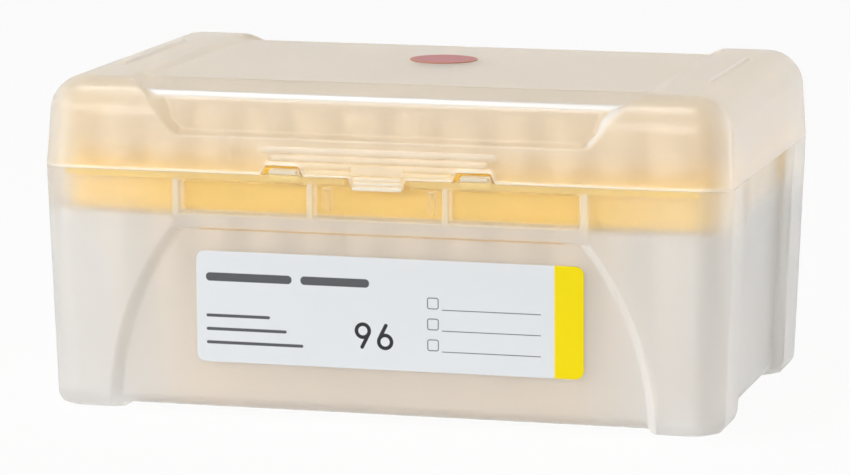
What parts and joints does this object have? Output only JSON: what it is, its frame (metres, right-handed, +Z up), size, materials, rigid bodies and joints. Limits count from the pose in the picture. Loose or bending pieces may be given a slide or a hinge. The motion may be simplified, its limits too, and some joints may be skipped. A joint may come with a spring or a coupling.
{
  "type": "box of pipette tips",
  "caption": "Closed rack box of filter pipette tips: frosted plastic base and hinged lid, yellow tray of tips inside, plain label in front.",
  "frame": {"origin": "centre of the footprint, hinge knuckles included, on the surface the feet stand on", "axes": "+X to the right along the front, +Y to the back, where the hinges are, +Z up"},
  "size_m": [0.1234, 0.0844, 0.0596],
  "materials": {
    "frosted_shell": "frosted, see-through polypropylene with a satin skin",
    "tray_yellow": "satin moulded plastic",
    "tip_plastic": "smooth, see-through moulded plastic",
    "filter_fibre": "sintered white fibre",
    "label_stock": "smooth printed label film",
    "indicator_red": "printed paper sticker"
  },
  "bodies": {
    "box": {"base": "frosted_shell", "tray": "tray_yellow", "label": "label_stock", "tips_column_01": "tip_plastic", "tips_column_02": "tip_plastic", "tips_column_03": "tip_plastic", "tips_column_04": "tip_plastic", "tips_column_05": "tip_plastic", "tips_column_06": "tip_plastic", "tips_column_07": "tip_plastic", "tips_column_08": "tip_plastic", "tips_column_09": "tip_plastic", "tips_column_10": "tip_plastic", "tips_column_11": "tip_plastic", "tips_column_12": "tip_plastic", "filters_column_01": "filter_fibre", "filters_column_02": "filter_fibre", "filters_column_03": "filter_fibre", "filters_column_04": "filter_fibre", "filters_column_05": "filter_fibre", "filters_column_06": "filter_fibre", "filters_column_07": "filter_fibre", "filters_column_08": "filter_fibre", "filters_column_09": "filter_fibre", "filters_column_10": "filter_fibre", "filters_column_11": "filter_fibre", "filters_column_12": "filter_fibre"},
    "cover": {"lid": "frosted_shell", "indicator_dot": "indicator_red"}
  },
  "joints": [
    {"name": "lid_hinge", "type": "hinge", "parent": "box", "child": "cover", "pos_m": [0, 0.04057, 0.04345], "axis": [-1, 0, 0], "range_deg": [0, 110]}
  ]
}
